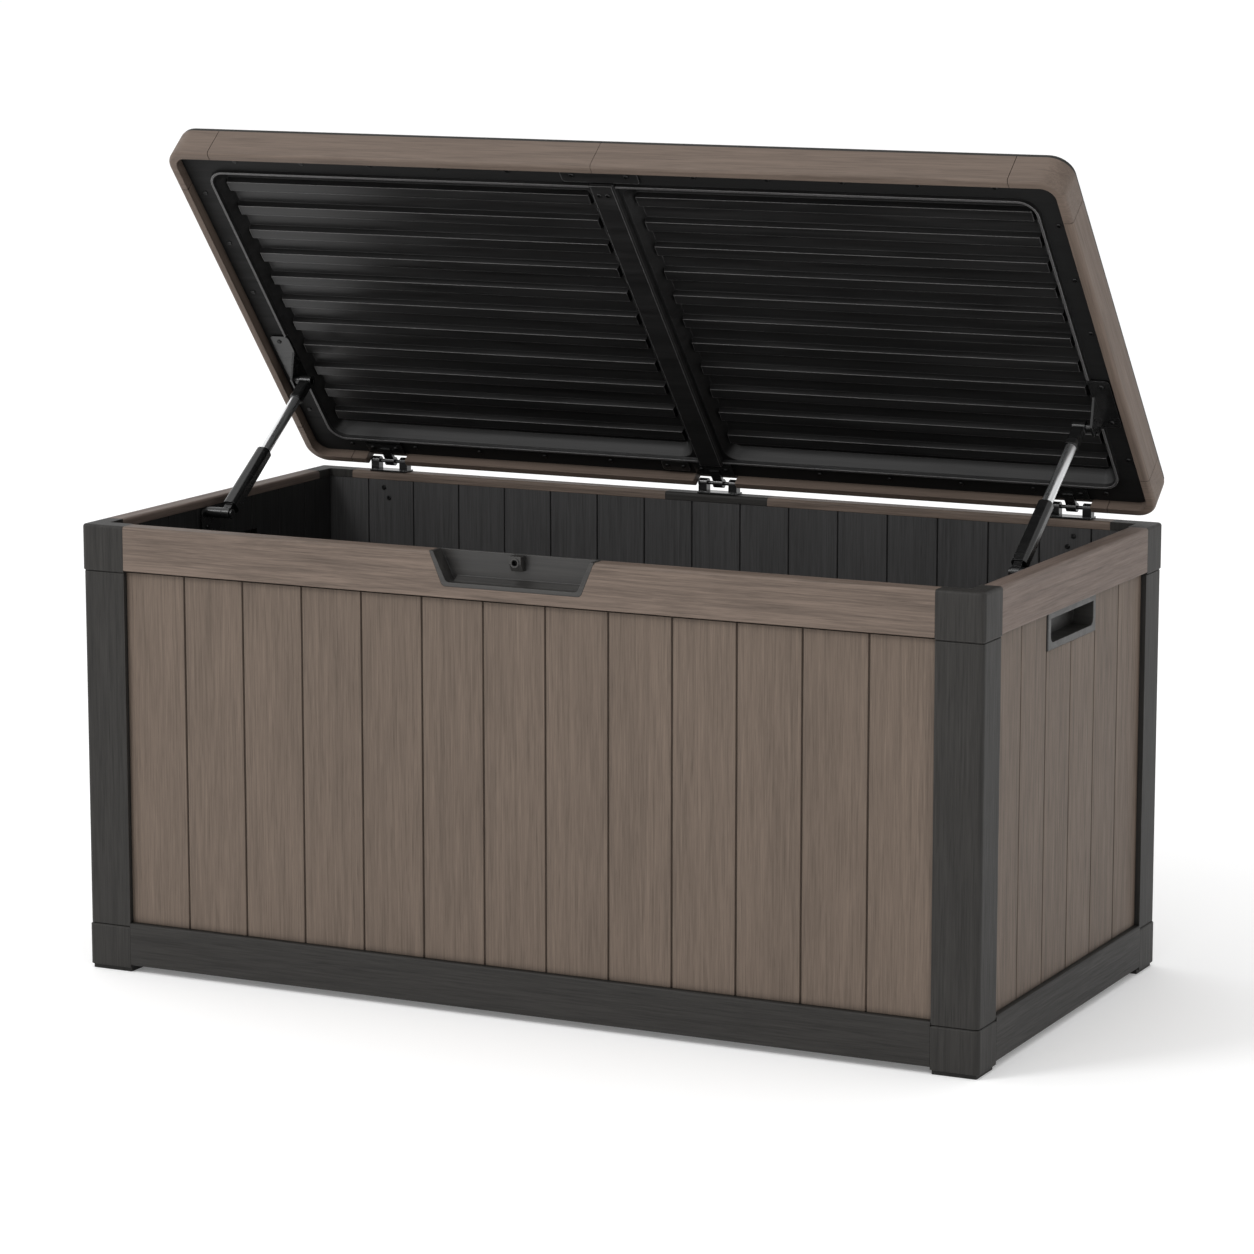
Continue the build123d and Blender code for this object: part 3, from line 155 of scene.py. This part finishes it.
# ---------------------------------------------------------------- node helpers
class Tree:
    """A material's node tree, with short calls for the nodes that every finish uses."""

    def __init__(self, name):
        self.material = bpy.data.materials.new(name)
        self.material.use_nodes = True
        self.nodes = self.material.node_tree.nodes
        self.links = self.material.node_tree.links
        self.shader = self.nodes["Principled BSDF"]

    def new(self, kind, **settings):
        """A shader node with its settings."""
        node = self.nodes.new("ShaderNode" + kind)
        for key, value in settings.items():
            setattr(node, key, value)
        return node

    def join(self, source, target):
        """A link from an output to an input."""
        self.links.new(source, target)

    def math(self, operation, a, b):
        """One arithmetic node; a and b are sockets or numbers."""
        node = self.new("Math", operation=operation)
        for slot, value in enumerate((a, b)):
            if isinstance(value, (int, float)):
                node.inputs[slot].default_value = value
            else:
                self.join(value, node.inputs[slot])
        return node.outputs[0]

    def times(self, a, b):
        """The product of two sockets or numbers."""
        return self.math("MULTIPLY", a, b)

    def noise(self, point, scale, character=EVEN_NOISE):
        """Noise with its own scale along each axis, and its detail, roughness and distortion."""
        stretch = self.new("VectorMath", operation="MULTIPLY")
        self.join(point, stretch.inputs[0])
        stretch.inputs[1].default_value = scale
        node = self.new("TexNoise")
        self.join(stretch.outputs[0], node.inputs["Vector"])
        node.inputs["Scale"].default_value = 1.0
        for key, number in zip(("Detail", "Roughness", "Distortion"), character):
            node.inputs[key].default_value = number
        return node.outputs["Fac"]

    def spread(self, value, source, target):
        """Maps the source range to the target range, clamped."""
        node = self.new("MapRange")
        self.join(value, node.inputs["Value"])
        for key, number in zip(("From Min", "From Max", "To Min", "To Max"), source + target):
            node.inputs[key].default_value = number
        return node.outputs["Result"]

    def ambient_occlusion(self):
        """Ambient occlusion: one on open faces, less in corners and gaps; it sets painted shade and
        keeps the moulded finish's painted highlights to open edges.
        """
        node = self.new("AmbientOcclusion", samples=SHADE_SAMPLES)
        node.inputs["Distance"].default_value = SHADE_OCCLUSION_REACH
        return node.outputs["AO"]

    def paint(self, colour, level):
        """A colour, lighter or darker by a level, as the base colour."""
        tint = self.new("VectorMath", operation="SCALE")
        tint.inputs[0].default_value = colour
        self.join(level, tint.inputs["Scale"])
        self.join(tint.outputs[0], self.shader.inputs["Base Color"])

    def emboss(self, height, normal, strength, relief):
        """A bump of some relief on top of a softened normal."""
        bump = self.new("Bump")
        bump.inputs["Strength"].default_value = strength
        bump.inputs["Distance"].default_value = relief
        self.join(height, bump.inputs["Height"])
        self.join(normal, bump.inputs["Normal"])
        self.join(bump.outputs[0], self.shader.inputs["Normal"])


def rest_point(tree, on_lid):
    """Rest coordinates in the row frame; a lid piece's are those of the closed lid."""
    point = tree.new("TexCoord").outputs["Object"]
    if not on_lid:
        return point
    turn = tree.new("VectorRotate", rotation_type="X_AXIS")
    tree.join(point, turn.inputs["Vector"])
    turn.inputs["Center"].default_value = LID_AXIS
    turn.inputs["Angle"].default_value = LID_TRAVEL
    return turn.outputs["Vector"]


def drawn_out(axis, scale):
    """A noise's scale on each axis, from its scales across and along one of them."""
    across, along = scale
    return tuple(along if direction == axis else across for direction in (X, Y, Z))


def board_shift(tree, point, axis, pitch):
    """The point with a random shift for each board, and that board's own random value."""
    split = tree.new("SeparateXYZ")
    tree.join(point, split.inputs[0])
    board = tree.math("FLOOR", tree.math("DIVIDE", split.outputs[axis], pitch), 0.0)
    dice = tree.new("TexWhiteNoise", noise_dimensions="1D")
    tree.join(board, dice.inputs["W"])
    offset = tree.new("VectorMath", operation="ADD")
    tree.join(point, offset.inputs[0])
    tree.join(dice.outputs["Color"], offset.inputs[1])
    return offset.outputs[0], dice.outputs["Value"]


def edge_mask(tree, radius=EDGE_RADIUS):
    """One along the sharp edges and nothing on the flats, and the softened normal."""
    bevel = tree.new("Bevel", samples=SHADE_SAMPLES)
    bevel.inputs["Radius"].default_value = radius
    flat = tree.new("NewGeometry")
    dot = tree.new("VectorMath", operation="DOT_PRODUCT")
    tree.join(bevel.outputs[0], dot.inputs[0])
    tree.join(flat.outputs["Normal"], dot.inputs[1])
    return tree.spread(dot.outputs["Value"], EDGE_TURN, FULL), bevel.outputs[0]


def level_mask(tree, point, height):
    """One on the faces at a height, and nothing elsewhere."""
    split = tree.new("SeparateXYZ")
    tree.join(point, split.inputs[0])
    above = tree.math("GREATER_THAN", split.outputs["Z"], height - LEVEL_SLACK)
    below = tree.math("LESS_THAN", split.outputs["Z"], height + LEVEL_SLACK)
    return tree.times(above, below)


def resin(name, colour, grain, streak, on_lid=False, boards=None, broad=0.4, edge_light=0.25, rough=0.55):
    """Moulded resin with an embossed wood grain along one axis, a painted highlight along its edges
    and painted shade in its corners and gaps.
    """
    tree = Tree(name)
    point = rest_point(tree, on_lid)
    tone = None
    if boards:
        point, tone = board_shift(tree, point, *boards)
    wide = tree.noise(point, drawn_out(grain, WIDE_GRAIN), WIDE_NOISE)
    lines = tree.noise(point, drawn_out(grain, FINE_GRAIN), FINE_NOISE)
    pores = tree.noise(point, drawn_out(grain, PORES))
    mix = tree.math("ADD", tree.times(wide, broad), tree.times(lines, 1.0 - broad))
    level = tree.spread(mix, GRAIN_REACH, (1.0 - streak, 1.0 + streak))
    cracks = tree.spread(pores, PORE_REACH, FULL)
    level = tree.math("SUBTRACT", level, tree.times(cracks, streak * PORE_DARKNESS))
    if tone:
        level = tree.times(level, tree.spread(tone, FULL, BOARD_TONES))
    edge, soft_normal = edge_mask(tree)
    # Painted highlight: the colour is lighter along sharp edges
    level = tree.times(level, tree.math("ADD", 1.0, tree.times(edge, edge_light)))
    # Painted shade: the colour is darker in corners and gaps
    level = tree.times(level, tree.spread(tree.ambient_occlusion(), GRAIN_PAINTED_SHADE_REACH, GRAIN_PAINTED_SHADE_TONES))
    tree.paint(colour, level)
    shine = tree.spread(lines, NOISE_REACH, (rough + GRAIN_DULLER, rough - GRAIN_SHINIER))
    tree.join(shine, tree.shader.inputs["Roughness"])
    tree.shader.inputs["Specular IOR Level"].default_value = GRAIN_SPECULAR
    height = tree.math("ADD", lines, tree.times(pores, PORE_HEIGHT))
    tree.emboss(height, soft_normal, GRAIN_BUMP, GRAIN_RELIEF)
    return tree.material


def moulded(name, colour, rough, specular=0.5, on_lid=False, edge_highlight=0.8, radius=EDGE_RADIUS):
    """Plain satin moulding: flow marks, a fine texture, a painted highlight on open outer edges and
    painted shade in corners and gaps, with no grain; on the lid, a painted highlight on the lip.
    """
    tree = Tree(name)
    point = rest_point(tree, on_lid)
    flow = tree.noise(point, drawn_out(X, FLOW), FLOW_NOISE)
    streaks = tree.noise(point, drawn_out(X, STREAKS), STREAK_NOISE)
    speck = tree.noise(point, drawn_out(X, SPECK))
    edge, soft_normal = edge_mask(tree, radius)
    occlusion_level = tree.ambient_occlusion()
    # Painted highlight: the colour is lighter along open outer edges
    pale = tree.times(tree.times(edge, tree.spread(occlusion_level, HIGHLIGHT_OPEN_REACH, FULL)), edge_highlight)
    level = tree.times(tree.spread(flow, NOISE_REACH, FLOW_TONES),
                       tree.spread(streaks, STREAK_REACH, FLOW_TONES))
    # Painted shade: the colour is darker in corners and gaps
    level = tree.times(level, tree.spread(occlusion_level, PLAIN_PAINTED_SHADE_REACH, PLAIN_PAINTED_SHADE_TONES))
    level = tree.math("ADD", level, pale)
    shine = tree.spread(flow, NOISE_REACH, (rough - FLOW_SHINIER, rough + FLOW_DULLER))
    if on_lid:
        flange = level_mask(tree, point, FLANGE_LEVEL)
        lip = level_mask(tree, point, LIP_LEVEL)
        level = tree.times(level, tree.math("SUBTRACT", 1.0, tree.times(flange, FLANGE_DARK)))
        # Painted highlight along the lid's lip
        level = tree.math("ADD", level, tree.times(lip, LIP_PAINTED_HIGHLIGHT))
        shine = tree.math("ADD", shine, tree.times(flange, FLANGE_DULL))
    tree.paint(colour, level)
    tree.join(shine, tree.shader.inputs["Roughness"])
    tree.shader.inputs["Specular IOR Level"].default_value = specular
    tree.emboss(speck, soft_normal, PLAIN_BUMP, PLAIN_RELIEF)
    return tree.material


def metal(name, colour, rough, brushed):
    """Steel with fine drawing marks, slanted along the open stays."""
    tree = Tree(name)
    turn = tree.new("VectorRotate", rotation_type="X_AXIS")
    tree.join(rest_point(tree, False), turn.inputs["Vector"])
    turn.inputs["Angle"].default_value = -STAY_SLOPE
    marks = tree.noise(turn.outputs["Vector"], drawn_out(Y, (brushed * BRUSH_RATIO, brushed)))
    tree.paint(colour, tree.spread(marks, NOISE_REACH, BRUSH_TONES))
    tree.shader.inputs["Metallic"].default_value = 1.0
    shine = tree.spread(marks, NOISE_REACH, (rough * BRUSH_SHINIER, rough * BRUSH_DULLER))
    tree.join(shine, tree.shader.inputs["Roughness"])
    return tree.material


# ---------------------------------------------------------------- finishes by node
FRONT_PLANKS = (X, PLANK_PITCH)
SIDE_PLANKS = (Y, PLANK_PITCH)
FRONT_LINER = (X, LINER_PITCH)
SIDE_LINER = (Y, LINER_PITCH)

FINISH = {
    "taupe_x": resin("taupe_grain_x", TAUPE_RAIL, X, streak=0.36, broad=0.55),
    "taupe_y": resin("taupe_grain_y", TAUPE_SIDE_RAIL, Y, streak=0.26, broad=0.5),
    "plank_front": resin("taupe_planks_front", TAUPE, Z, boards=FRONT_PLANKS, streak=0.23),
    "plank_side": resin("taupe_planks_side", TAUPE, Z, boards=SIDE_PLANKS, streak=0.30),
    "lid_x": resin("lid_taupe_grain_x", TAUPE_RAIL, X, on_lid=True, streak=0.20, broad=0.55),
    "lid_y": resin("lid_taupe_grain_y", TAUPE_RAIL, Y, on_lid=True, streak=0.20, broad=0.55),
    "charcoal_x": resin("charcoal_grain_x", CHARCOAL, X, streak=0.32),
    "charcoal_y": resin("charcoal_grain_y", CHARCOAL, Y, streak=0.32),
    # Posts get a strong painted highlight along their edges
    "charcoal_z": resin("charcoal_grain_z", CHARCOAL, Z, streak=0.32, edge_light=0.9),
    "cover": resin("lid_cover_grain", CHARCOAL, X, on_lid=True, streak=0.12),
    "liner_x": resin("liner_grain_front", LINER, Z, boards=FRONT_LINER, streak=0.26, rough=0.5),
    # Side liners get the darker liner colour: painted shade
    "liner_y_shaded": resin("liner_grain_side_shaded", LINER_SIDE_SHADED, Z, boards=SIDE_LINER, streak=0.26, rough=0.5),
    "trim": moulded("charcoal_satin", CHARCOAL, rough=0.42),
    # Lid underside and fittings: strong painted highlights along their edges
    "black": moulded("black_satin", LID_BLACK, rough=0.34, specular=0.34, on_lid=True, edge_highlight=15.0),
    "fitting": moulded("black_fitting", BLACK, rough=0.22, specular=0.55, edge_highlight=4.0,
                       radius=FITTING_RADIUS),
    "chrome": metal("bright_steel", STEEL, rough=0.30, brushed=14.0),
    "steel": metal("dark_steel", DARK_STEEL, rough=0.35, brushed=20.0),
}


def finish_of(node):
    """Which finish a CAD node gets, from its name."""
    side = node.endswith(("_left", "_right")) or node == "lid_rim_sides"
    if node.startswith("corner_"):
        return "charcoal_z"
    if node.startswith("bottom_rail"):
        return "charcoal_y" if side else "charcoal_x"
    if node == "top_rail_joiner":
        return "charcoal_x"
    if node.startswith("top_rail"):
        return "taupe_y" if side else "taupe_x"
    if node.startswith("panel_"):
        return "plank_side" if side else "plank_front"
    if node.startswith("liner_"):
        return "liner_y_shaded" if side else "liner_x"
    if node.startswith("lid_rim"):
        return "lid_y" if side else "lid_x"
    if node.startswith("lid_corner"):
        return "lid_x"
    if node.startswith("lid_cover"):
        return "cover"
    if node.startswith(("lid_inner", "lid_centre", "lid_joint")):
        return "black"
    if node.startswith(("handle_", "finger_", "padlock_")):
        return "trim"
    if node.startswith("floor_"):
        return "liner_x"
    if node.startswith("stay_tube"):
        return "chrome"
    if node in ("chest_screws", "lid_screws"):
        return "steel"
    return "fitting"


for name, item in frame["nodes"].items():
    for holder in item.material_slots:
        holder.material = FINISH[finish_of(name)]


# ---------------------------------------------------------------- studio
def studio_floor():
    """A wide pale floor that reaches past the horizon of the view."""
    corners = [(-FLOOR_HALF, -FLOOR_HALF, 0), (FLOOR_HALF, -FLOOR_HALF, 0),
               (FLOOR_HALF, FLOOR_HALF, 0), (-FLOOR_HALF, FLOOR_HALF, 0)]
    mesh = bpy.data.meshes.new("studio_floor")
    mesh.from_pydata(corners, [], [(0, 1, 2, 3)])
    floor = bpy.data.objects.new("studio_floor", mesh)
    bpy.context.scene.collection.objects.link(floor)
    tree = Tree("studio_floor")
    tree.shader.inputs["Base Color"].default_value = FLOOR_COLOUR
    tree.shader.inputs["Roughness"].default_value = FLOOR_ROUGH
    tree.shader.inputs["Specular IOR Level"].default_value = FLOOR_SPECULAR
    tree.shader.inputs["Emission Color"].default_value = WHITE
    tree.shader.inputs["Emission Strength"].default_value = FLOOR_GLOW
    mesh.materials.append(tree.material)


def area_light(name, spot, size, power):
    """A soft square light at a spot, turned to the middle of the box."""
    data = bpy.data.lights.new(name, "AREA")
    data.size = size
    data.energy = power
    lamp = bpy.data.objects.new(name, data)
    lamp.location = spot
    lamp.rotation_euler = (Vector(AIM) - Vector(spot)).to_track_quat("-Z", "Y").to_euler()
    bpy.context.scene.collection.objects.link(lamp)


def studio_lights():
    """White surroundings, with a soft key from the upper left front and a weak fill."""
    world = bpy.data.worlds.new("studio")
    bpy.context.scene.world = world
    world.use_nodes = True
    nodes = world.node_tree.nodes
    links = world.node_tree.links
    sky = nodes["Background"]
    sky.inputs["Strength"].default_value = SKY
    way = nodes.new("ShaderNodeSeparateXYZ")
    links.new(nodes.new("ShaderNodeTexCoord").outputs["Generated"], way.inputs[0])
    dim = nodes.new("ShaderNodeMapRange")
    links.new(way.outputs["X"], dim.inputs["Value"])
    dim.inputs["From Min"].default_value, dim.inputs["From Max"].default_value = RIGHT_SIDE
    dim.inputs["To Min"].default_value = 1.0
    dim.inputs["To Max"].default_value = RIGHT_DIM
    links.new(dim.outputs["Result"], sky.inputs["Color"])
    area_light("key", KEY_SPOT, KEY_SIZE, KEY_POWER)
    area_light("fill", FILL_SPOT, FILL_SIZE, FILL_POWER)


def studio_camera():
    """The view of the photograph: a long lens, higher than the open lid's top."""
    data = bpy.data.cameras.new("camera")
    data.sensor_width = SENSOR
    data.lens = LENS
    data.clip_end = SIGHT
    camera = bpy.data.objects.new("camera", data)
    camera.location = CAMERA_SPOT
    camera.rotation_euler = (math.radians(90.0 - CAMERA_DOWN), 0.0, math.radians(CAMERA_ROUND))
    bpy.context.scene.collection.objects.link(camera)
    bpy.context.scene.camera = camera


studio_floor()
studio_lights()
studio_camera()
bpy.context.scene.view_settings.view_transform = "Standard"
